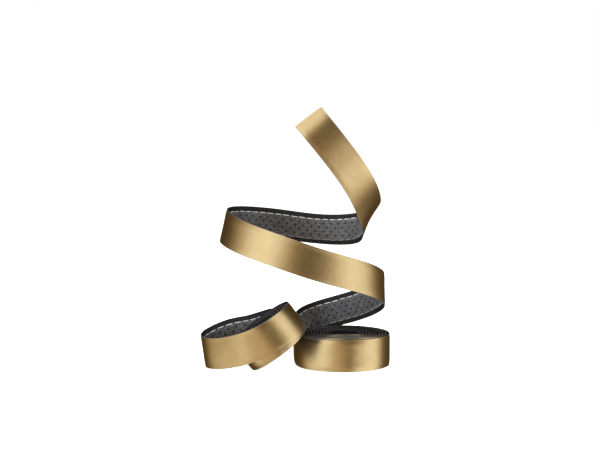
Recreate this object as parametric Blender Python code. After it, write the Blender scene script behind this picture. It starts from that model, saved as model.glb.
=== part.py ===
"""Two rolls of padded handlebar tape.

The first roll stands on its edge as a coil, with its outer turns drawn up into a loose helix. The
second roll is a half-opened coil that leans on it. Each tape is one strip of four layers with two
rows of stitching. The strip is modelled in lengths, so that its free turns can flex.

Metres, +Z up, origin on the floor under the middle of the set.
"""
import math

import bmesh
import bpy
import numpy as np

MM = 0.001

# The tape's section: skin, core, lining and stitches, from its outer face inwards
TAPE_WIDTH = 30.0 * MM
SKIN_THICKNESS = 0.45 * MM
CORE_THICKNESS = 1.35 * MM
BORDER_THICKNESS = 0.60 * MM
LINING_THICKNESS = 0.25 * MM
STITCH_THICKNESS = 0.20 * MM
LAYER_GAP = 0.13 * MM
LINING_WIDTH = 21.5 * MM
STITCH_OFFSET = 10.1 * MM
STITCH_WIDTH = 0.6 * MM
SKIN_INSET = 0.1 * MM
END_GAP = 0.3 * MM
TAPE_THICKNESS = SKIN_THICKNESS + CORE_THICKNESS + LINING_THICKNESS + STITCH_THICKNESS + 3 * LAYER_GAP

# Both coils are wound at the same pitch, in straight steps
TURN_PITCH = 3.1 * MM
STEPS_PER_TURN = 16
STEP_ANGLE = 2 * math.pi / STEPS_PER_TURN
WOUND_STEP = 12.0 * MM
FREE_STEP = 7.0 * MM

# The first coil's axis is upright. Its outer turn lies flat for most of its way, and then the tape
# climbs for a part of a turn, so that the fronts of the inner turns stand a little proud
FIRST_AXIS = np.array((45.02, 5.42, 0.0)) * MM
FIRST_RADIUS = 45.0 * MM
FIRST_TURNS = 10
FIRST_START = math.radians(225)
FIRST_FLAT = 0.8
FIRST_CLIMB = 0.35
FIRST_RISE = 1.4 * MM

# The second coil's axis leans to the left and a little to the front. The front of its outer turn is
# pushed up along that axis, and the tape soon settles back to the level of the inner turns
SECOND_LEAN = math.radians(36)
SECOND_TILT = math.radians(4)
SECOND_CENTRE = np.array((-68.9, -35.3, 31.9)) * MM
SECOND_RADIUS = 32.0 * MM
SECOND_TURNS = 7
SECOND_RISE = 5.9 * MM
SECOND_SETTLING = 5.5

# The first tape from its free end down to its coil: the middle of the tape, in mm from the coil's
# axis on the floor, and the direction of the tape's width there
FIRST_ROUTE = (
    ((-33.0, -42.0, 236.7), (0.76, 0.10, 0.62)),
    ((-26.2, -46.6, 228.4), (0.76, 0.11, 0.62)),
    ((-18.5, -47.5, 219.0), (0.76, 0.12, 0.62)),
    ((-2.0, -43.0, 198.0), (0.76, 0.14, 0.61)),
    ((14.5, -32.0, 173.5), (0.74, 0.15, 0.63)),
    ((22.5, -16.0, 156.5), (0.66, 0.10, 0.72)),
    ((25.5, 3.0, 141.0), (0.50, 0.00, 0.87)),
    ((16.5, 28.0, 128.5), (0.32, -0.08, 0.94)),
    ((-8.0, 47.0, 124.0), (0.17, -0.14, 0.97)),
    ((-33.0, 55.0, 125.0), (0.10, -0.15, 0.98)),
    ((-60.0, 55.0, 128.5), (0.06, -0.12, 0.98)),
    ((-86.0, 44.0, 132.0), (0.07, -0.06, 0.98)),
    ((-105.0, 25.0, 134.0), (0.14, 0.02, 0.98)),
    ((-112.5, 0.0, 133.0), (0.22, 0.08, 0.97)),
    ((-97.0, -33.0, 125.5), (0.30, 0.12, 0.94)),
    ((-63.0, -55.0, 115.0), (0.31, 0.16, 0.93)),
    ((-27.5, -57.0, 103.0), (0.28, 0.20, 0.94)),
    ((7.0, -43.0, 91.5), (0.20, 0.24, 0.95)),
    ((29.5, -22.0, 81.5), (0.10, 0.26, 0.96)),
    ((38.8, 0.0, 71.8), (0.00, 0.28, 0.96)),
    ((32.5, 25.0, 60.5), (-0.12, 0.22, 0.97)),
    ((13.0, 46.0, 49.0), (-0.20, 0.12, 0.97)),
    ((-13.0, 56.0, 40.0), (-0.25, 0.02, 0.97)),
    ((-33.0, 51.3, 33.8), (-0.25, -0.08, 0.96)),
    ((-40.9, 40.5, 30.2), (-0.18, -0.14, 0.97)),
    ((-44.6, 27.0, 26.2), (-0.10, -0.16, 0.98)),
    ((-46.1, 13.0, 21.7), (-0.04, -0.13, 0.99)),
    ((-45.5, 0.0, 17.6), (0.00, -0.07, 1.00)),
    ((-41.75, -17.29, 15.3), (0.00, -0.02, 1.00)),
)

# Its lengths, and the stations at which the free ones meet the next length down
FIRST_LENGTHS = ("tail", "upper_turn", "middle_turn", "lower_turn", "first_coil")
FIRST_JOINTS = (6, 13, 19, 25)

# The second tape from its free end, tucked behind its coil, round the loose loop to the coil's
# outer turn
SECOND_ROUTE = (
    ((-63.5, 1.4, 39.2), (-0.59, 0.00, 0.81)),
    ((-75.0, 3.8, 35.3), (-0.46, 0.00, 0.88)),
    ((-88.0, 6.0, 31.0), (-0.35, 0.05, 0.93)),
    ((-104.0, 8.0, 27.5), (-0.25, 0.05, 0.97)),
    ((-118.0, 4.0, 22.8), (-0.20, 0.05, 0.98)),
    ((-128.0, -4.0, 18.4), (-0.17, 0.05, 0.98)),
    ((-131.5, -14.0, 15.9), (-0.15, 0.00, 0.98)),
    ((-128.5, -26.5, 15.2), (-0.13, -0.05, 0.98)),
    ((-119.0, -38.5, 16.4), (-0.15, -0.08, 0.98)),
    ((-105.0, -51.5, 20.3), (-0.27, -0.07, 0.96)),
    ((-88.5, -64.0, 26.8), (-0.45, -0.05, 0.89)),
)
SECOND_LENGTHS = ("second_loop", "second_coil")
SECOND_JOINTS = (9,)


def clear_scene():
    for obj in list(bpy.data.objects):
        bpy.data.objects.remove(obj, do_unlink=True)


def unit(vectors):
    return vectors / np.linalg.norm(vectors, axis=-1, keepdims=True)


def spline(knots, values, at):
    """A natural cubic spline through values, read at the places in at, with its slope there."""
    gaps = np.diff(knots)[:, None]
    rises = np.diff(values, axis=0) / gaps
    system = np.eye(len(knots))
    bends = np.zeros_like(values)
    for i in range(1, len(knots) - 1):
        before, after = gaps[i - 1, 0], gaps[i, 0]
        system[i, i - 1:i + 2] = before, 2 * (before + after), after
        bends[i] = 6 * (rises[i] - rises[i - 1])
    bends = np.linalg.solve(system, bends)
    span = np.clip(np.searchsorted(knots, at, side="right") - 1, 0, len(gaps) - 1)
    step = (at - knots[span])[:, None]
    gap = gaps[span]
    curve = (bends[span + 1] - bends[span]) / (6 * gap)
    slope = rises[span] - gap * (2 * bends[span] + bends[span + 1]) / 6
    places = values[span] + step * (slope + step * (bends[span] / 2 + step * curve))
    slopes = slope + step * (bends[span] + step * 3 * curve)
    return places, slopes


class Tape:
    """A tape's course: stations with a place and a width direction, joined by a smooth curve."""

    def __init__(self, places, widths, wound_from):
        self.wound_from = wound_from
        self.values = np.hstack((places, unit(widths)))
        steps = np.linalg.norm(np.diff(places, axis=0), axis=1)
        self.knots = np.concatenate(((0.0,), np.cumsum(steps)))

    def frames(self, at):
        """Place, direction outwards, direction across and direction along, at each length in at."""
        values, slopes = spline(self.knots, self.values, at)
        along = unit(slopes[:, :3])
        across = values[:, 3:]
        across = unit(across - along * np.sum(across * along, axis=1, keepdims=True))
        return values[:, :3], np.cross(along, across), across, along

    def between(self, first, last):
        """Lengths from one station to another in short steps, short of a cut end by half a gap."""
        lengths = []
        for station in range(first, last):
            start, end = self.knots[station:station + 2]
            longest = FREE_STEP if station < self.wound_from else WOUND_STEP
            steps = max(1, round((end - start) / longest))
            lengths.extend(np.linspace(start, end, steps, endpoint=False))
        lengths.append(self.knots[last])
        if first > 0:
            lengths[0] += END_GAP / 2
        if last < len(self.knots) - 1:
            lengths[-1] -= END_GAP / 2
        return np.array(lengths)


def first_tape():
    """The free route, then a flat spiral inwards about the upright axis."""
    places = [np.array(place) * MM for place, width in FIRST_ROUTE]
    widths = [width for place, width in FIRST_ROUTE]
    for step in range(FIRST_TURNS * STEPS_PER_TURN + 1):
        turn = step / STEPS_PER_TURN
        radius = FIRST_RADIUS - TURN_PITCH * turn
        angle = FIRST_START + STEP_ANGLE * step
        climbed = min(max((turn - FIRST_FLAT) / FIRST_CLIMB, 0.0), 1.0)
        height = TAPE_WIDTH / 2 + FIRST_RISE * climbed * max(-math.sin(angle), 0.0) ** 4
        places.append(np.array((radius * math.cos(angle), radius * math.sin(angle), height)))
        widths.append((0.0, 0.0, 1.0))
    return Tape(np.array(places) + FIRST_AXIS, np.array(widths), len(FIRST_ROUTE))


def second_tape():
    """The loose loop, then a spiral inwards in the leaning plane, from the coil's right end."""
    uphill = np.array((math.cos(SECOND_LEAN), 0.0, math.sin(SECOND_LEAN)))
    back = np.array((0.0, math.cos(SECOND_TILT), math.sin(SECOND_TILT)))
    axis = np.cross(uphill, back)
    places = [np.array(place) * MM for place, width in SECOND_ROUTE]
    widths = [width for place, width in SECOND_ROUTE]
    for step in range(-STEPS_PER_TURN // 4, SECOND_TURNS * STEPS_PER_TURN + 1):
        turn = step / STEPS_PER_TURN
        radius = SECOND_RADIUS - TURN_PITCH * turn
        rise = SECOND_RISE * math.exp(-SECOND_SETTLING * (turn + 0.25))
        spoke = uphill * math.cos(STEP_ANGLE * step) + back * math.sin(STEP_ANGLE * step)
        places.append(SECOND_CENTRE + spoke * radius + axis * rise)
        widths.append(axis)
    return Tape(np.array(places) + FIRST_AXIS, np.array(widths), len(SECOND_ROUTE))


def material(name, colour, roughness, metallic=0.0):
    finish = bpy.data.materials.new(name)
    finish.use_nodes = True
    shader = finish.node_tree.nodes["Principled BSDF"]
    shader.inputs["Base Color"].default_value = (*colour, 1.0)
    shader.inputs["Roughness"].default_value = roughness
    shader.inputs["Metallic"].default_value = metallic
    finish.diffuse_color = (*colour, 1.0)
    return finish


def strip(name, frames, section, finish, joint, collection):
    """A closed strip with a constant section, swept along the frames and parented to its joint.
    The section's corners are heights over the tape's middle and distances across it, anticlockwise
    about the way back."""
    places, outwards, across, along = frames
    mesh_maker = bmesh.new()
    rings = []
    for place, out, side in zip(places - np.array(joint.location), outwards, across):
        rings.append([mesh_maker.verts.new(place + out * high + side * off) for high, off in section])
    for ring, following in zip(rings, rings[1:]):
        for i in range(len(section)):
            j = (i + 1) % len(section)
            if section[j][1] > section[i][1]:
                mesh_maker.faces.new((ring[i], following[i], following[j]))
                mesh_maker.faces.new((ring[i], following[j], ring[j]))
            else:
                mesh_maker.faces.new((ring[i], following[i], ring[j]))
                mesh_maker.faces.new((following[i], following[j], ring[j]))
    mesh_maker.faces.new(rings[0])
    mesh_maker.faces.new(reversed(rings[-1]))
    mesh = bpy.data.meshes.new(name)
    mesh_maker.to_mesh(mesh)
    mesh_maker.free()
    mesh.materials.append(finish)
    obj = bpy.data.objects.new(name, mesh)
    obj.parent = joint
    collection.objects.link(obj)


def flat_section(outer, thickness, width):
    inner = outer - thickness
    return (inner, -width / 2), (outer, -width / 2), (outer, width / 2), (inner, width / 2)


def core_section(outer):
    """The foam: flat outside, full thickness behind the lining, bevelled to thin borders."""
    inner = outer - CORE_THICKNESS
    edge = outer - BORDER_THICKNESS
    flat = LINING_WIDTH / 2
    half = TAPE_WIDTH / 2
    return (edge, -half), (outer, -half), (outer, half), (edge, half), (inner, flat), (inner, -flat)


def stitch_section(outer, middle):
    """A thread lying on the lining: a flat back and a rounded-off ridge."""
    half = STITCH_WIDTH / 2
    return (outer - STITCH_THICKNESS, middle), (outer, middle - half), (outer, middle + half)


def tape_length(name, frames, finishes, joint, collection):
    """The five layers of one length of tape, from the skin inwards."""
    outer = TAPE_THICKNESS / 2
    sections = {"skin": flat_section(outer, SKIN_THICKNESS, TAPE_WIDTH - 2 * SKIN_INSET)}
    outer -= SKIN_THICKNESS + LAYER_GAP
    sections["foam_core"] = core_section(outer)
    outer -= CORE_THICKNESS + LAYER_GAP
    sections["lining"] = flat_section(outer, LINING_THICKNESS, LINING_WIDTH)
    outer -= LINING_THICKNESS + LAYER_GAP
    sections["upper_stitches"] = stitch_section(outer, STITCH_OFFSET)
    sections["lower_stitches"] = stitch_section(outer, -STITCH_OFFSET)
    for layer, section in sections.items():
        strip(f"{name}_{layer}", frames, section, finishes[layer], joint, collection)


def tape_lengths(tape, names, joints, finishes, collection):
    """Every length of a tape, each on an empty at the joint by which it hangs on the next one. The
    coil is the last length and hangs on nothing, so its empty is at its free end."""
    ends = (0, *joints, len(tape.knots) - 1)
    for name, first, last, station in zip(names, ends, ends[1:], (*joints, joints[-1])):
        joint = bpy.data.objects.new(f"{name}_joint", None)
        joint.location = tape.values[station, :3]
        joint.empty_display_size = 10 * MM
        collection.objects.link(joint)
        tape_length(name, tape.frames(tape.between(first, last)), finishes, joint, collection)


def build():
    clear_scene()
    collection = bpy.data.collections.new("handlebar_tape_set")
    bpy.context.scene.collection.children.link(collection)
    thread = material("grey_thread", (0.48, 0.48, 0.46), 0.7)
    finishes = {
        "skin": material("gold_skin", (0.47, 0.31, 0.11), 0.34, 1.0),
        "foam_core": material("black_foam", (0.012, 0.012, 0.013), 0.85),
        "lining": material("charcoal_lining", (0.045, 0.046, 0.05), 0.8),
        "upper_stitches": thread,
        "lower_stitches": thread,
    }
    tape_lengths(first_tape(), FIRST_LENGTHS, FIRST_JOINTS, finishes, collection)
    tape_lengths(second_tape(), SECOND_LENGTHS, SECOND_JOINTS, finishes, collection)


build()
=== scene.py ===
"""The handlebar tape set's looks: gold faces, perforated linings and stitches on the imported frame."""

import math

import bpy
import numpy as np
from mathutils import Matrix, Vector


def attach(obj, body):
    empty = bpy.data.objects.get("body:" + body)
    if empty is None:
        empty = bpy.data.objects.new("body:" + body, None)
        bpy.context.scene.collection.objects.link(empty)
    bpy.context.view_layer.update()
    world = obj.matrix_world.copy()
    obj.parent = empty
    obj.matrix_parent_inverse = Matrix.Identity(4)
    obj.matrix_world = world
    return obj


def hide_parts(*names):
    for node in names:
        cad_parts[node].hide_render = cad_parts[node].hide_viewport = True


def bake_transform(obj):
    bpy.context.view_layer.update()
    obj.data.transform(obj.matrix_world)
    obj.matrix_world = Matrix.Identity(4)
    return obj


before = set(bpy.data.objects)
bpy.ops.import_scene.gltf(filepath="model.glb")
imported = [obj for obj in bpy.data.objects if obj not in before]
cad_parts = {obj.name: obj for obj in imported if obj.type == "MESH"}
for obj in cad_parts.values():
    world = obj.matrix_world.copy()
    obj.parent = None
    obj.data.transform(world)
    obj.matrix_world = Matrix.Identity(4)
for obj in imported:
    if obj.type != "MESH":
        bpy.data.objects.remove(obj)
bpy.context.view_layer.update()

MM = 0.001

# The perforations are in staggered rows 4 mm apart, and every layer is cut into cells that hold one each
CELL = 4.1 * MM
ROW_SPACING = 4.0 * MM
PITCH = 2 * CELL
LINING_HOLE_RADIUS = 0.85 * MM
FOAM_HOLE_RADIUS = 0.32 * MM
HOLE_RIM = 1.6
HOLE_BEVEL = 0.22
DIMPLE_RADIUS = 0.85 * MM
DIMPLE_DEPTH = 0.040 * MM
SWELL_HEIGHT = 0.012 * MM

# Heights over the tape's middle, from the gold face to the stitches
SKIN_OUTER = 1.32 * MM
SKIN_INNER = 0.87 * MM
FOAM_OUTER = 0.86 * MM
FOAM_INNER = -0.70 * MM
FOAM_BORDER = 0.14 * MM
LINING_OUTER = -0.71 * MM
LINING_INNER = -0.97 * MM
TAPE_HALF = 15.0 * MM
LINING_HALF = 10.75 * MM
STITCH_OFFSET = 10.1 * MM
STITCH_LENGTH = 6.8 * MM
STITCH_WIDTH = 0.29 * MM
STITCH_HEIGHT = 0.22 * MM
STITCH_SLACK = 0.10 * MM
STITCH_END_DROP = 0.34 * MM
STITCH_TWISTS = 2.1
GROOVE_HALF = 0.55 * MM
GROOVE_DEPTH = 0.10 * MM
EDGE_ROUND = 0.25 * MM

# A coil's turns sit a little unevenly from this far into its winding, easing in
UNEVEN_START = 0.30
UNEVEN_EASE = 0.05

TURN_PITCH = 3.1 * MM
STEPS_PER_TURN = 16
STEP_ANGLE = 2 * math.pi / STEPS_PER_TURN

FIRST_AXIS = np.array((45.02, 5.42, 0.0)) * MM
FIRST_RADIUS = 45.0 * MM
FIRST_TURNS = 10
FIRST_START = math.radians(225)
FIRST_FLAT = 0.8
FIRST_CLIMB = 0.35
FIRST_RISE = 1.4 * MM

SECOND_LEAN = math.radians(36)
SECOND_TILT = math.radians(4)
SECOND_CENTRE = np.array((-68.9, -35.3, 31.9)) * MM
SECOND_RADIUS = 32.0 * MM
SECOND_TURNS = 7
SECOND_RISE = 5.9 * MM
SECOND_SETTLING = 5.5

# The first tape's free route, in mm from its coil's axis, with the direction of the tape's width
FIRST_ROUTE = (
    ((-33.0, -42.0, 236.7), (0.76, 0.10, 0.62)),
    ((-26.2, -46.6, 228.4), (0.76, 0.11, 0.62)),
    ((-18.5, -47.5, 219.0), (0.76, 0.12, 0.62)),
    ((-2.0, -43.0, 198.0), (0.76, 0.14, 0.61)),
    ((14.5, -32.0, 173.5), (0.74, 0.15, 0.63)),
    ((22.5, -16.0, 156.5), (0.66, 0.10, 0.72)),
    ((25.5, 3.0, 141.0), (0.50, 0.00, 0.87)),
    ((16.5, 28.0, 128.5), (0.32, -0.08, 0.94)),
    ((-8.0, 47.0, 124.0), (0.17, -0.14, 0.97)),
    ((-33.0, 55.0, 125.0), (0.10, -0.15, 0.98)),
    ((-60.0, 55.0, 128.5), (0.06, -0.12, 0.98)),
    ((-86.0, 44.0, 132.0), (0.07, -0.06, 0.98)),
    ((-105.0, 25.0, 134.0), (0.14, 0.02, 0.98)),
    ((-112.5, 0.0, 133.0), (0.22, 0.08, 0.97)),
    ((-97.0, -33.0, 125.5), (0.30, 0.12, 0.94)),
    ((-63.0, -55.0, 115.0), (0.31, 0.16, 0.93)),
    ((-27.5, -57.0, 103.0), (0.28, 0.20, 0.94)),
    ((7.0, -43.0, 91.5), (0.20, 0.24, 0.95)),
    ((29.5, -22.0, 81.5), (0.10, 0.26, 0.96)),
    ((38.8, 0.0, 71.8), (0.00, 0.28, 0.96)),
    ((32.5, 25.0, 60.5), (-0.12, 0.22, 0.97)),
    ((13.0, 46.0, 49.0), (-0.20, 0.12, 0.97)),
    ((-13.0, 56.0, 40.0), (-0.25, 0.02, 0.97)),
    ((-33.0, 51.3, 33.8), (-0.25, -0.08, 0.96)),
    ((-40.9, 40.5, 30.2), (-0.18, -0.14, 0.97)),
    ((-44.6, 27.0, 26.2), (-0.10, -0.16, 0.98)),
    ((-46.1, 13.0, 21.7), (-0.04, -0.13, 0.99)),
    ((-45.5, 0.0, 17.6), (0.00, -0.07, 1.00)),
    ((-41.75, -17.29, 15.3), (0.00, -0.02, 1.00)),
)

# The second tape from its tucked-in free end, round the loose loop to its coil
SECOND_ROUTE = (
    ((-63.5, 1.4, 39.2), (-0.59, 0.00, 0.81)),
    ((-75.0, 3.8, 35.3), (-0.46, 0.00, 0.88)),
    ((-88.0, 6.0, 31.0), (-0.35, 0.05, 0.93)),
    ((-104.0, 8.0, 27.5), (-0.25, 0.05, 0.97)),
    ((-118.0, 4.0, 22.8), (-0.20, 0.05, 0.98)),
    ((-128.0, -4.0, 18.4), (-0.17, 0.05, 0.98)),
    ((-131.5, -14.0, 15.9), (-0.15, 0.00, 0.98)),
    ((-128.5, -26.5, 15.2), (-0.13, -0.05, 0.98)),
    ((-119.0, -38.5, 16.4), (-0.15, -0.08, 0.98)),
    ((-105.0, -51.5, 20.3), (-0.27, -0.07, 0.96)),
    ((-88.5, -64.0, 26.8), (-0.45, -0.05, 0.89)),
)


def unit(vectors):
    return vectors / np.linalg.norm(vectors, axis=-1, keepdims=True)


def smooth(x):
    x = np.clip(x, 0.0, 1.0)
    return x * x * (3 - 2 * x)


class Tape:
    """A tape's course: a natural cubic spline through stations with a place and a width direction."""

    def __init__(self, places, widths, wound):
        self.values = np.hstack((places, unit(widths)))
        steps = np.linalg.norm(np.diff(places, axis=0), axis=1)
        self.knots = np.concatenate(((0.0,), np.cumsum(steps)))
        self.wound = self.knots[wound]
        self.length = self.knots[-1]
        gaps = np.diff(self.knots)
        self.rises = np.diff(self.values, axis=0) / gaps[:, None]
        system = np.eye(len(self.knots))
        bends = np.zeros_like(self.values)
        for i in range(1, len(self.knots) - 1):
            system[i, i - 1:i + 2] = gaps[i - 1], 2 * (gaps[i - 1] + gaps[i]), gaps[i]
            bends[i] = 6 * (self.rises[i] - self.rises[i - 1])
        self.bends = np.linalg.solve(system, bends)
        self.gaps = gaps

    def frames(self, at):
        """Place, direction outwards, direction across and direction along, at each length in at."""
        at = np.asarray(at, float)
        span = np.clip(np.searchsorted(self.knots, at, side="right") - 1, 0, len(self.gaps) - 1)
        step = (at - self.knots[span])[:, None]
        gap = self.gaps[span][:, None]
        first, second = self.bends[span], self.bends[span + 1]
        curve = (second - first) / (6 * gap)
        slope = self.rises[span] - gap * (2 * first + second) / 6
        values = self.values[span] + step * (slope + step * (first / 2 + step * curve))
        slopes = slope + step * (first + step * 3 * curve)
        along = unit(slopes[:, :3])
        across = values[:, 3:]
        across = unit(across - along * np.sum(across * along, axis=1, keepdims=True))
        return values[:, :3], np.cross(along, across), across, along

    def points(self, at, high, off):
        """The point high over the tape's middle and off across it, at each length."""
        place, outwards, across, _ = self.frames(at)
        uneven = smooth((at - self.wound - UNEVEN_START) / UNEVEN_EASE) * MM
        lift = uneven * (0.22 * np.sin(at / 0.041) + 0.16 * np.sin(at / 0.0173 + 1.0))
        return place + outwards * high[:, None] + across * (off + lift)[:, None]


def first_tape():
    places = [np.array(place) * MM for place, width in FIRST_ROUTE]
    widths = [width for place, width in FIRST_ROUTE]
    for step in range(FIRST_TURNS * STEPS_PER_TURN + 1):
        turn = step / STEPS_PER_TURN
        radius = FIRST_RADIUS - TURN_PITCH * turn
        angle = FIRST_START + STEP_ANGLE * step
        climbed = min(max((turn - FIRST_FLAT) / FIRST_CLIMB, 0.0), 1.0)
        height = TAPE_HALF + FIRST_RISE * climbed * max(-math.sin(angle), 0.0) ** 4
        places.append(np.array((radius * math.cos(angle), radius * math.sin(angle), height)))
        widths.append((0.0, 0.0, 1.0))
    return Tape(np.array(places) + FIRST_AXIS, np.array(widths), len(FIRST_ROUTE))


def second_tape():
    uphill = np.array((math.cos(SECOND_LEAN), 0.0, math.sin(SECOND_LEAN)))
    back = np.array((0.0, math.cos(SECOND_TILT), math.sin(SECOND_TILT)))
    axis = np.cross(uphill, back)
    places = [np.array(place) * MM for place, width in SECOND_ROUTE]
    widths = [width for place, width in SECOND_ROUTE]
    for step in range(-STEPS_PER_TURN // 4, SECOND_TURNS * STEPS_PER_TURN + 1):
        turn = step / STEPS_PER_TURN
        radius = SECOND_RADIUS - TURN_PITCH * turn
        rise = SECOND_RISE * math.exp(-SECOND_SETTLING * (turn + 0.25))
        spoke = uphill * math.cos(STEP_ANGLE * step) + back * math.sin(STEP_ANGLE * step)
        places.append(SECOND_CENTRE + spoke * radius + axis * rise)
        widths.append(axis)
    return Tape(np.array(places) + FIRST_AXIS, np.array(widths), len(SECOND_ROUTE))


# ---- the layers' surfaces: height over the tape's middle, at a length and a distance across ----

def edge_drop(off):
    """The padding thins towards both edges, so the face rounds off there."""
    return 0.42 * MM * smooth((np.abs(off) - 10.0 * MM) / (6.0 * MM))


def dimples(at, off):
    """One at each perforation, the rows staggered."""
    row = np.floor(off / ROW_SPACING)
    across = off - (row + 0.5) * ROW_SPACING
    along = (at - CELL / 2 - (row % 2) * CELL + CELL) % PITCH - CELL
    return np.exp(-(across ** 2 + along ** 2) / DIMPLE_RADIUS ** 2)


def swell(at, off):
    """The padding's slow unevenness."""
    along = np.sin(at / 0.0031 + 2.1 * np.sin(off / 0.0047))
    across = np.sin(off / 0.0036 + 1.7 * np.sin(at / 0.0093))
    return along * across + 0.8 * np.sin(at / 0.0069 + 0.6) * np.sin(off / 0.0061 + at / 0.021)


def skin_outer(at, off):
    return SKIN_OUTER - edge_drop(off) - DIMPLE_DEPTH * dimples(at, off) + SWELL_HEIGHT * swell(at, off)


def skin_inner(at, off):
    return SKIN_INNER - edge_drop(off)


def foam_outer(at, off):
    return FOAM_OUTER - edge_drop(off)


def foam_inner(at, off):
    border = smooth((np.abs(off) - LINING_HALF) / (1.5 * MM))
    return FOAM_INNER + (FOAM_BORDER - FOAM_INNER) * border - edge_drop(off) * 0.6


def lining_outer(at, off):
    return np.full_like(off, LINING_OUTER)


def lining_inner(at, off):
    groove = np.exp(-((np.abs(off) - STITCH_OFFSET) / GROOVE_HALF) ** 2)
    return LINING_INNER + GROOVE_DEPTH * groove


# ---- mesh making ----

FINE_STEPS = 4


def columns(*strips):
    """Strips across the tape as (from, to, steps, hole row or None), in mm; the other side mirrors them."""
    right = [(a * MM, b * MM, n, row) for a, b, n, row in strips]
    left = [(-b, -a, n, None if row is None else -1 - row) for a, b, n, row in reversed(right)]
    return left + right


def slab(name, tape, start, end, strips, outer, inner, seen, hole_radius=0.0):
    """A closed layer between two surfaces, with round holes through it in the staggered cells.

    Where seen(length) is false, between a coil's inner turns, the mesh is coarser and has no holes."""
    first_cell, last_cell = round(start / CELL), math.ceil(end / CELL - 1e-6)
    edges = np.minimum(np.arange(first_cell, last_cell + 1) * CELL, end)
    fine = np.array([seen(edges[k]) or seen(edges[k + 1]) for k in range(len(edges) - 1)])
    lengths, row_cell = [], []
    for k in range(len(edges) - 1):
        n = FINE_STEPS if fine[k] else 1
        lengths.extend(np.linspace(edges[k], edges[k + 1], n, endpoint=False))
        row_cell.extend([k] * n)
    lengths = np.array(lengths + [edges[-1]])
    offs, col_strip = [], []
    for j, (a, b, n, _) in enumerate(strips):
        offs.extend(np.linspace(a, b, n, endpoint=False))
        col_strip.extend([j] * n)
    offs = np.array(offs + [strips[-1][1]])
    row_cell, col_strip = np.array(row_cell), np.array(col_strip)
    rows, cols = len(lengths), len(offs)

    holed = np.zeros((len(edges) - 1, len(strips)), bool)
    if hole_radius:
        for k in range(len(edges) - 1):
            whole = edges[k + 1] - edges[k] > 0.99 * CELL
            for j, strip in enumerate(strips):
                if fine[k] and whole and strip[3] is not None:
                    holed[k, j] = (first_cell + k + strip[3]) % 2 == 0

    grid_s, grid_w = np.meshgrid(lengths, offs, indexing="ij")
    at, off, side = [grid_s.ravel(), grid_s.ravel()], [grid_w.ravel(), grid_w.ravel()], []
    side += [np.zeros(rows * cols), np.ones(rows * cols)]
    index = np.arange(rows * cols).reshape(rows, cols)
    under = index + rows * cols
    count = 2 * rows * cols

    keep = ~holed[row_cell][:, col_strip]
    r, c = np.nonzero(keep)
    quads = [np.stack((index[r, c], index[r + 1, c], index[r + 1, c + 1], index[r, c + 1]), axis=1),
             np.stack((under[r, c], under[r, c + 1], under[r + 1, c + 1], under[r + 1, c]), axis=1)]

    extra_at, extra_off, extra_side = [], [], []
    for k, j in zip(*np.nonzero(holed)):
        r0, r1 = np.nonzero(row_cell == k)[0][[0, -1]] + (0, 1)
        c0, c1 = np.nonzero(col_strip == j)[0][[0, -1]] + (0, 1)
        loop = ([(r, c0) for r in range(r0, r1)] + [(r1, c) for c in range(c0, c1)]
                + [(r, c1) for r in range(r1, r0, -1)] + [(r0, c) for c in range(c1, c0, -1)])
        lr, lc = np.array(loop).T
        mid_s, mid_w = (lengths[r0] + lengths[r1]) / 2, (offs[c0] + offs[c1]) / 2
        turn = np.arctan2(offs[lc] - mid_w, lengths[lr] - mid_s)
        rings = []
        for level in (0.0, 1.0):
            for reach, sunk in ((HOLE_RIM, 0.0), (1.0, HOLE_BEVEL)):
                extra_at.append(mid_s + hole_radius * reach * np.cos(turn))
                extra_off.append(mid_w + hole_radius * reach * np.sin(turn))
                extra_side.append(np.full(len(turn), sunk if level == 0.0 else 1.0 - sunk))
                rings.append(np.arange(count, count + len(turn)))
                count += len(turn)
        top, bottom = index[lr, lc], under[lr, lc]
        chain = [top, rings[0], rings[1], rings[3], rings[2], bottom]
        for upper, lower in zip(chain, chain[1:]):
            quads.append(np.stack((upper, np.roll(upper, -1), np.roll(lower, -1), lower), axis=1))
    at, off, side = (np.concatenate(a + b) for a, b in
                     ((at, extra_at), (off, extra_off), (side, extra_side)))

    high_out, high_in = outer(at, off), inner(at, off)
    high = high_out + (high_in - high_out) * side
    places = [tape.points(at, high, off)]
    marks = [np.stack((at, off, side), axis=1)]

    def flip(faces, wanted):
        return faces if wanted else faces[:, ::-1]

    caps = []
    for c, sign in ((0, -1.0), (cols - 1, 1.0)):
        edge = np.full(rows, offs[c])
        top_h, low_h = outer(lengths, edge), inner(lengths, edge)
        mid, half = (top_h + low_h) / 2, (top_h - low_h) / 2
        chain = [under[:, c]]
        for turn in (-0.9, -0.45, 0.0, 0.45, 0.9):
            angle = turn * math.pi / 2
            rounded = edge + sign * min(EDGE_ROUND, float(half.mean())) * math.cos(angle)
            places.append(tape.points(lengths, mid + half * math.sin(angle), rounded))
            marks.append(np.stack((lengths, rounded, np.full(rows, 0.5)), axis=1))
            chain.append(np.arange(count, count + rows))
            count += rows
        chain.append(index[:, c])
        for low, up in zip(chain, chain[1:]):
            quads.append(flip(np.stack((low[:-1], up[:-1], up[1:], low[1:]), axis=1), sign > 0))
        for r, back in ((0, False), (rows - 1, True)):
            ring = [chain[0][r], chain[-1][r]] + [step[r] for step in chain[-2:0:-1]]
            caps.append(ring if (sign > 0) != back else ring[::-1])
    for r, back in ((0, False), (rows - 1, True)):
        end_faces = np.stack((under[r, :-1], index[r, :-1], index[r, 1:], under[r, 1:]), axis=1)
        quads.append(flip(end_faces, not back))

    faces = np.concatenate(quads).tolist() + [[int(v) for v in ring] for ring in caps]
    return mesh_piece(name, np.concatenate(places), faces, np.concatenate(marks))


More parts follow.
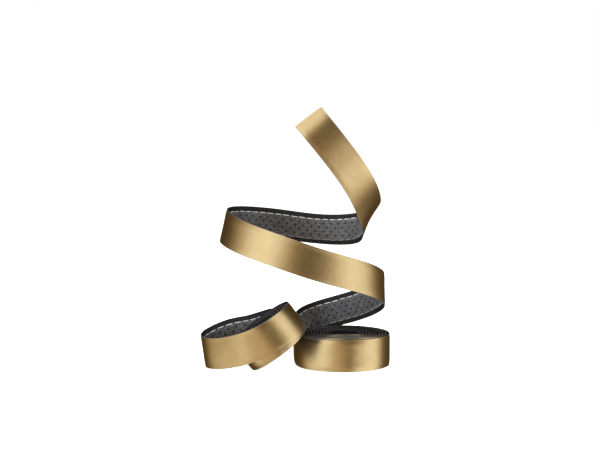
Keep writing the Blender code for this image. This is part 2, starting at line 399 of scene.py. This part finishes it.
def mesh_piece(name, points, faces, marks):
    mesh = bpy.data.meshes.new(name)
    mesh.from_pydata(points.tolist(), [], faces)
    mesh.validate()
    place = mesh.attributes.new("tape_place", "FLOAT_VECTOR", "POINT")
    place.data.foreach_set("vector", marks.astype(np.float32).ravel())
    mesh.shade_smooth()
    mesh.set_sharp_from_angle(angle=math.radians(50))
    obj = bpy.data.objects.new(name, mesh)
    bpy.context.scene.collection.objects.link(obj)
    return obj


def stitches(name, tape, start, end, offset):
    """Separate two-ply stitches lying in the lining's groove, their ends turned down into it."""
    rings, sides = 9, 10
    along = np.linspace(0.0, 1.0, rings)
    turn = np.linspace(0.0, 2 * math.pi, sides, endpoint=False)
    points, marks, faces = [], [], []
    first, last = round(start / PITCH), math.floor(end / PITCH + 1e-6)
    for k in range(first, last):
        s0 = k * PITCH + (PITCH - STITCH_LENGTH) / 2
        middle = STITCH_SLACK * math.sin(k * 2.4) + offset
        at = np.repeat(s0 + STITCH_LENGTH * along, sides)
        taper = np.repeat(np.sqrt(np.clip(1 - (2 * along - 1) ** 8, 0.0, 1.0)) * 0.82 + 0.18, sides)
        sink = np.repeat(STITCH_END_DROP * np.abs(2 * along - 1) ** 6, sides)
        ply = np.tile(turn, rings) - np.repeat(along, sides) * STITCH_TWISTS * 2 * math.pi
        fat = taper * (1 + 0.16 * np.cos(2 * ply))
        off = middle + STITCH_WIDTH * fat * np.cos(np.tile(turn, rings))
        high = LINING_INNER - 0.02 * MM + sink + STITCH_HEIGHT * fat * np.sin(np.tile(turn, rings))
        base = len(points) * rings * sides
        points.append(tape.points(at, high, off))
        marks.append(np.stack((at, off, np.repeat(along, sides)), axis=1))
        for r in range(rings - 1):
            for q in range(sides):
                a, b = base + r * sides + q, base + r * sides + (q + 1) % sides
                faces.append((a, a + sides, b + sides, b))
        faces.append([base + q for q in range(sides)])
        faces.append([base + (rings - 1) * sides + q for q in reversed(range(sides))])
    return mesh_piece(name, np.concatenate(points), faces, np.concatenate(marks))


# ---- materials ----

class Nodes:
    """Adds and links the shader nodes of a material or a world."""

    def __init__(self, owner):
        owner.use_nodes = True
        self.owner = owner
        self.tree = owner.node_tree
        self.shader = self.tree.nodes.get("Principled BSDF")

    def add(self, kind, settings=None, **inputs):
        node = self.tree.nodes.new(kind)
        for key, value in (settings or {}).items():
            setattr(node, key, value)
        for key, value in inputs.items():
            self.put(node, key.replace("_", " "), value)
        return node

    def put(self, node, key, value):
        socket = node.inputs[key]
        if isinstance(value, bpy.types.NodeSocket):
            self.tree.links.new(value, socket)
        else:
            socket.default_value = value

    def place(self, scale):
        """The point on the tape, along and across it, in units of 1/scale metres."""
        read = self.add("ShaderNodeAttribute", {"attribute_name": "tape_place"})
        mapping = self.add("ShaderNodeMapping", {"vector_type": "POINT"}, Vector=read.outputs["Vector"])
        mapping.inputs["Scale"].default_value = scale if hasattr(scale, "__len__") else (scale,) * 3
        return mapping.outputs["Vector"]

    def side(self):
        """0 on a layer's outer face, 0.5 on its edge and 1 on its inner face."""
        read = self.add("ShaderNodeAttribute", {"attribute_name": "tape_place"})
        return self.add("ShaderNodeSeparateXYZ", Vector=read.outputs["Vector"]).outputs["Z"]

    def noise(self, scale, detail=2.0, roughness=0.5):
        node = self.add("ShaderNodeTexNoise", {"noise_dimensions": "3D"}, Vector=self.place(scale),
                        Scale=1.0, Detail=detail, Roughness=roughness)
        return node.outputs["Fac"]

    def cells(self, scale):
        node = self.add("ShaderNodeTexVoronoi", Vector=self.place(scale), Scale=1.0)
        return node.outputs["Distance"]

    def ramp(self, value, *stops):
        node = self.add("ShaderNodeValToRGB", Fac=value)
        elements = node.color_ramp.elements
        elements[0].position, elements[-1].position = stops[0][0], stops[-1][0]
        for place, _ in stops[1:-1]:
            elements.new(place)
        for element, (_, colour) in zip(elements, stops):
            element.color = (*colour, 1.0) if hasattr(colour, "__len__") else (colour, colour, colour, 1.0)
        return node.outputs["Color"]

    def maths(self, operation, *values):
        node = self.add("ShaderNodeMath", {"operation": operation})
        for place, value in enumerate(values):
            self.put(node, place, value)
        return node.outputs["Value"]

    def fade(self, value, start, end):
        """1 up to start, easing to 0 at end."""
        node = self.add("ShaderNodeMapRange", {"interpolation_type": "SMOOTHSTEP"}, Value=value,
                        From_Min=start, From_Max=end, To_Min=1.0, To_Max=0.0)
        return node.outputs["Result"]

    def mix(self, factor, a, b, blend="MIX"):
        node = self.add("ShaderNodeMix", {"data_type": "RGBA", "blend_type": blend})
        for place, value in ((0, factor), (6, a), (7, b)):
            value = (*value, 1.0) if isinstance(value, tuple) else value
            self.put(node, place, value)
        return node.outputs[2]

    def bump(self, height, strength, distance, after=None):
        node = self.add("ShaderNodeBump", Height=height, Strength=strength, Distance=distance)
        if after is not None:
            self.put(node, "Normal", after)
        return node.outputs["Normal"]


def finish(name):
    return Nodes(bpy.data.materials.new(name))


def gold_skin():
    """Metallic synthetic leather: satin gold with a fine pressed grain, and on its edges a grey far lighter
    than the backing's own dark colour, a painted highlight.
    """
    m = finish("gold_skin_finish")
    grain = m.cells(2600.0)
    tone = m.ramp(m.noise(90.0, 3.0), (0.30, (0.61, 0.480, 0.252)), (0.70, (0.65, 0.515, 0.275)))
    pores = m.ramp(grain, (0.0, 0.80), (0.35, 1.0))
    gold = m.mix(0.5, tone, pores, "MULTIPLY")
    # The edges get a grey much lighter than the dark backing: a painted highlight along them.
    painted_highlight_edges = m.ramp(m.side(), (0.22, 0.0), (0.26, 1.0), (0.90, 1.0), (0.96, 0.0))
    m.put(m.shader, "Base Color", m.mix(painted_highlight_edges, gold, (0.12, 0.12, 0.125)))
    m.put(m.shader, "Metallic", m.maths("SUBTRACT", 1.0, painted_highlight_edges))
    m.put(m.shader, "Roughness", m.ramp(m.noise(420.0, 2.0), (0.3, 0.31), (0.7, 0.36)))
    slow = m.bump(m.noise(260.0, 2.0), 0.26, 0.00022)
    m.put(m.shader, "Normal", m.bump(grain, 0.2, 0.00003, after=slow))
    return m.owner


def black_foam():
    """Closed-cell foam: black and matt, with fine cells."""
    m = finish("black_foam_finish")
    tone = m.ramp(m.noise(1500.0, 3.0), (0.35, (0.009, 0.0092, 0.010)), (0.7, (0.019, 0.0195, 0.021)))
    m.put(m.shader, "Base Color", tone)
    m.put(m.shader, "Roughness", m.ramp(m.noise(900.0), (0.3, 0.50), (0.7, 0.68)))
    m.put(m.shader, "Normal", m.bump(m.cells(2400.0), 0.35, 0.00005))
    m.shader.inputs["Specular IOR Level"].default_value = 0.12
    return m.owner


def perforated_lining():
    """Brushed charcoal lining: short pale fibres over a dark ground, with painted shade darkening the
    inside of its perforations and its cut edges.
    """
    m = finish("perforated_lining_finish")
    speck = m.noise(760.0, 3.0, 0.7)
    ground = m.ramp(speck, (0.36, (0.014, 0.015, 0.017)), (0.53, (0.046, 0.048, 0.052)),
                    (0.67, (0.27, 0.28, 0.30)))
    worn = m.ramp(m.noise(150.0), (0.35, 0.65), (0.65, 1.0))
    # Painted shade: the perforations' insides and the lining's cut edges are darkened to a tenth of the
    # fibres' colour.
    painted_hole_and_edge_shade = m.ramp(m.side(), (0.80, 0.10), (0.995, 1.0))
    fibres = m.mix(1.0, ground, worn, "MULTIPLY")
    m.put(m.shader, "Base Color", m.mix(1.0, fibres, painted_hole_and_edge_shade, "MULTIPLY"))
    m.shader.inputs["Roughness"].default_value = 0.42
    m.shader.inputs["Specular IOR Level"].default_value = 0.85
    m.shader.inputs["Sheen Weight"].default_value = 0.12
    m.shader.inputs["Sheen Roughness"].default_value = 0.5
    m.put(m.shader, "Normal", m.bump(speck, 0.7, 0.00012))
    return m.owner


def thread(name, pale):
    """Two-ply thread, in a grey between two thirds of pale and pale."""
    m = finish(name)
    tone = m.ramp(m.noise(2500.0), (0.3, pale * 0.66), (0.7, pale))
    m.put(m.shader, "Base Color", tone)
    m.shader.inputs["Roughness"].default_value = 0.62
    m.shader.inputs["Sheen Weight"].default_value = 0.2
    m.put(m.shader, "Normal", m.bump(m.noise((1200.0, 5200.0, 1200.0)), 0.5, 0.00004))
    return m.owner


# ---- the tapes ----

SKIN_STRIPS = columns((0.0, 4.0, 6, None), (4.0, 8.0, 6, None), (8.0, 12.0, 6, None),
                      (12.0, 14.75, 5, None))
FOAM_STRIPS = columns((0.0, 10.75, 4, None), (10.75, 12.3, 4, None), (12.3, 14.3, 4, 3),
                      (14.3, 14.75, 1, None))
LINING_STRIPS = columns((0.0, 4.0, 4, 0), (4.0, 8.0, 4, 1), (8.0, 10.5, 5, None))

GOLD, FOAM, LINING = gold_skin(), black_foam(), perforated_lining()
UPPER_THREAD = thread("upper_thread_finish", 0.75)
LOWER_THREAD = thread("lower_thread_finish", 0.30)


def tape_piece(title, tape, start, end, place, cad, seen):
    """The five layers of one stretch of tape. place puts each one on its body, or bakes its placement into
    its mesh.
    """
    skin = slab(f"{title}_gold_face", tape, start, end, SKIN_STRIPS, skin_outer, skin_inner, seen)
    foam = slab(f"{title}_foam_strip", tape, start, end, FOAM_STRIPS, foam_outer, foam_inner, seen,
                FOAM_HOLE_RADIUS)
    lining = slab(f"{title}_perforated_lining", tape, start, end, LINING_STRIPS, lining_outer,
                  lining_inner, seen, LINING_HOLE_RADIUS)
    upper = stitches(f"{title}_upper_thread", tape, start, end, STITCH_OFFSET)
    lower = stitches(f"{title}_lower_thread", tape, start, end, -STITCH_OFFSET)
    layers = ((skin, GOLD, "gold_skin", "skin"), (foam, FOAM, "foam", "foam_core"),
              (lining, LINING, "perforated_lining", "lining"),
              (upper, UPPER_THREAD, "thread", "upper_stitches"),
              (lower, LOWER_THREAD, "thread", "lower_stitches"))
    for obj, look, slot, layer in layers:
        obj.data.materials.append(look)
        place(obj)
        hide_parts(f"{cad}_{layer}")


def riding(body):
    return lambda obj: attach(obj, body)


def bending(tape, station):
    """Bakes each piece's placement into its mesh, on no body; the frame at the joint's station is worked
    out but not used.
    """
    place, _, _, along = (v[0] for v in tape.frames(tape.knots[station:station + 1]))
    return lambda obj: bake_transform(obj)


FIRST = first_tape()
SECOND = second_tape()


# The lengths of coil in view, in metres, from where the winding starts and back from its inner end
FIRST_OUTER_SEEN = 0.30
FIRST_INNER_SEEN = 0.115
SECOND_OUTER_SEEN = 0.26
SECOND_INNER_SEEN = 0.085


def seen_first(at):
    """The free turns, and the coil's outer and innermost turns."""
    return at < FIRST.wound + FIRST_OUTER_SEEN or at > FIRST.length - FIRST_INNER_SEEN


def seen_second(at):
    return at < SECOND.wound + SECOND_OUTER_SEEN or at > SECOND.length - SECOND_INNER_SEEN


# Where each tape is cut, between stitches and perforations
TAIL_CUT = 28 * PITCH
UPPER_CUT = 53 * PITCH
MIDDLE_CUT = 76 * PITCH
COIL_CUT = 93 * PITCH
LOOP_CUT = 11 * PITCH
ROOT_CUT = 19 * PITCH

# The station of each joint on its tape
TAIL_JOINT, UPPER_JOINT, MIDDLE_JOINT, LOWER_JOINT = 6, 13, 19, 25
LOOP_JOINT = 9

tape_piece("tail", FIRST, 0.0, TAIL_CUT,
           bending(FIRST, TAIL_JOINT),
           "tail", seen_first)
tape_piece("upper_turn", FIRST, TAIL_CUT, UPPER_CUT,
           bending(FIRST, UPPER_JOINT),
           "upper_turn", seen_first)
tape_piece("middle_turn", FIRST, UPPER_CUT, MIDDLE_CUT,
           bending(FIRST, MIDDLE_JOINT),
           "middle_turn", seen_first)
tape_piece("lower_turn", FIRST, MIDDLE_CUT, COIL_CUT,
           bending(FIRST, LOWER_JOINT),
           "lower_turn", seen_first)
tape_piece("first_coil", FIRST, COIL_CUT, FIRST.length, riding("first_coil"),
           "first_coil", seen_first)
tape_piece("second_loop", SECOND, 0.0, LOOP_CUT, riding("second_loop"),
           "second_loop", seen_second)
tape_piece("second_loop_root", SECOND, LOOP_CUT, ROOT_CUT,
           bending(SECOND, LOOP_JOINT),
           "second_loop", seen_second)
tape_piece("second_coil", SECOND, ROOT_CUT, SECOND.length, riding("second_roll"),
           "second_coil", seen_second)


# ---- floor, light and camera ----

# The soft boxes around the set, in degrees: azimuth (0 is the camera's side, 90 the right) and elevation
# of the middle, half the width and height, the fading edge's half width across and up, how far the azimuth
# leans with each degree of elevation, and the radiance
SOFT_BOXES = (
    ((-49, 16), (36, 40), (22, 15), 0.4, 1.36),
    ((-71, -40), (30, 18), (20, 14), 0.0, 1.0),
    ((-24, -34), (34, 31), (22, 9), 0.0, 0.66),
    ((26, -50), (30, 26), (14, 9), 0.0, 0.55),
    ((74, 8), (24, 24), (17, 11), 0.0, 1.34),
    ((64, -20), (36, 12), (9, 8), 0.0, 1.42),
    ((62, -42), (24, 22), (18, 14), 0.0, 0.95),
    ((62, 37), (34, 14), (12, 6), 0.0, 1.15),
    ((0, 66), (50, 24), (25, 12), 0.0, 1.30),
    ((180, 0), (12, 50), (12, 15), 0.0, 0.5),
)
ROOM = 0.06
FULL_BRIGHTNESS = 1.25
WARM_SHADE = (1.0, 0.56, 0.10)
FLOOR_GLOW = 0.88
FLOOR_HALF = 6.0
FLOOR_DROP = 0.1 * MM

# Soft lights for the matt layers alone, one low in front and one high behind: place, size and power
FILLS = (
    ((-0.22, -1.30, 0.06), 0.3, 21.0),
    ((0.25, 0.60, 1.20), 0.5, 18.0),
)

CAMERA_PLACE = (0.00422, -1.49458, 0.2780)
CAMERA_TILT = math.radians(90 - 5.5146)
SENSOR_WIDTH = 36.0
LENS_LENGTH = 95.2


def floor():
    """A white floor that glows, so it stays white up to the horizon."""
    mesh = bpy.data.meshes.new("studio_floor")
    corners = [(x * FLOOR_HALF, y * FLOOR_HALF, 0.0) for x, y in ((-1, -1), (1, -1), (1, 1), (-1, 1))]
    mesh.from_pydata(corners, [], [(0, 1, 2, 3)])
    obj = bpy.data.objects.new("studio_floor", mesh)
    obj.location.z = -FLOOR_DROP
    m = finish("studio_floor_finish")
    m.shader.inputs["Base Color"].default_value = (0.80, 0.80, 0.80, 1.0)
    m.shader.inputs["Roughness"].default_value = 0.9
    m.shader.inputs["Emission Strength"].default_value = FLOOR_GLOW
    m.shader.inputs["Emission Color"].default_value = (1.0, 1.0, 1.0, 1.0)
    m.owner.cycles.emission_sampling = "NONE"
    mesh.materials.append(m.owner)
    bpy.context.scene.collection.objects.link(obj)
    obj.visible_glossy = False
    obj.visible_shadow = False


def soft_box(n, azimuth, elevation, middle, half, edge, lean):
    """1 inside the soft box, fading to 0 over its edge."""
    centre = n.maths("MULTIPLY_ADD", elevation, lean, middle[0] - lean * middle[1])
    across = n.maths("PINGPONG", n.maths("SUBTRACT", azimuth, centre), 180.0)
    up = n.maths("ABSOLUTE", n.maths("SUBTRACT", elevation, middle[1]))
    return n.maths("MULTIPLY", n.fade(across, half[0] - edge[0], half[0] + edge[0]),
                   n.fade(up, half[1] - edge[1], half[1] + edge[1]))


def studio():
    """Soft boxes in a dim, warm room. The camera sees plain white behind the set."""
    world = bpy.data.worlds.new("studio")
    n = Nodes(world)
    direction = n.add("ShaderNodeTexCoord").outputs["Generated"]
    x, y, z = n.add("ShaderNodeSeparateXYZ", Vector=direction).outputs
    azimuth = n.maths("DEGREES", n.maths("ARCTAN2", x, n.maths("MULTIPLY", y, -1.0)))
    elevation = n.maths("DEGREES", n.maths("ARCSINE", z))
    level = 0.0
    for middle, half, edge, lean, radiance in SOFT_BOXES:
        light = n.maths("MULTIPLY", soft_box(n, azimuth, elevation, middle, half, edge, lean), radiance)
        level = n.maths("MAXIMUM", light, level)
    level = n.maths("ADD", level, ROOM)
    share = n.maths("MINIMUM", n.maths("DIVIDE", level, FULL_BRIGHTNESS), 1.0)
    lights = n.add("ShaderNodeBackground", Color=n.mix(share, WARM_SHADE, (1.0, 1.0, 1.0)), Strength=level)
    backdrop = n.add("ShaderNodeBackground", Color=(1.0, 1.0, 1.0, 1.0), Strength=1.0)
    seen = n.add("ShaderNodeMixShader")
    n.put(seen, 0, n.add("ShaderNodeLightPath").outputs["Is Camera Ray"])
    n.put(seen, 1, lights.outputs["Background"])
    n.put(seen, 2, backdrop.outputs["Background"])
    n.put(n.tree.nodes["World Output"], "Surface", seen.outputs["Shader"])
    bpy.context.scene.world = world

    for place, size, power in FILLS:
        fill = bpy.data.lights.new("matt_fill", "AREA")
        fill.size = size
        fill.energy = power
        obj = bpy.data.objects.new("matt_fill", fill)
        obj.location = place
        obj.rotation_euler = Vector(place).to_track_quat("Z", "Y").to_euler()
        obj.visible_glossy = False
        obj.visible_camera = False
        bpy.context.scene.collection.objects.link(obj)
    bpy.context.scene.view_settings.view_transform = "Standard"


def camera():
    lens = bpy.data.cameras.new("camera")
    lens.sensor_width = SENSOR_WIDTH
    lens.lens = LENS_LENGTH
    obj = bpy.data.objects.new("camera", lens)
    obj.location = CAMERA_PLACE
    obj.rotation_euler = (CAMERA_TILT, 0.0, 0.0)
    bpy.context.scene.collection.objects.link(obj)
    bpy.context.scene.camera = obj


floor()
studio()
camera()
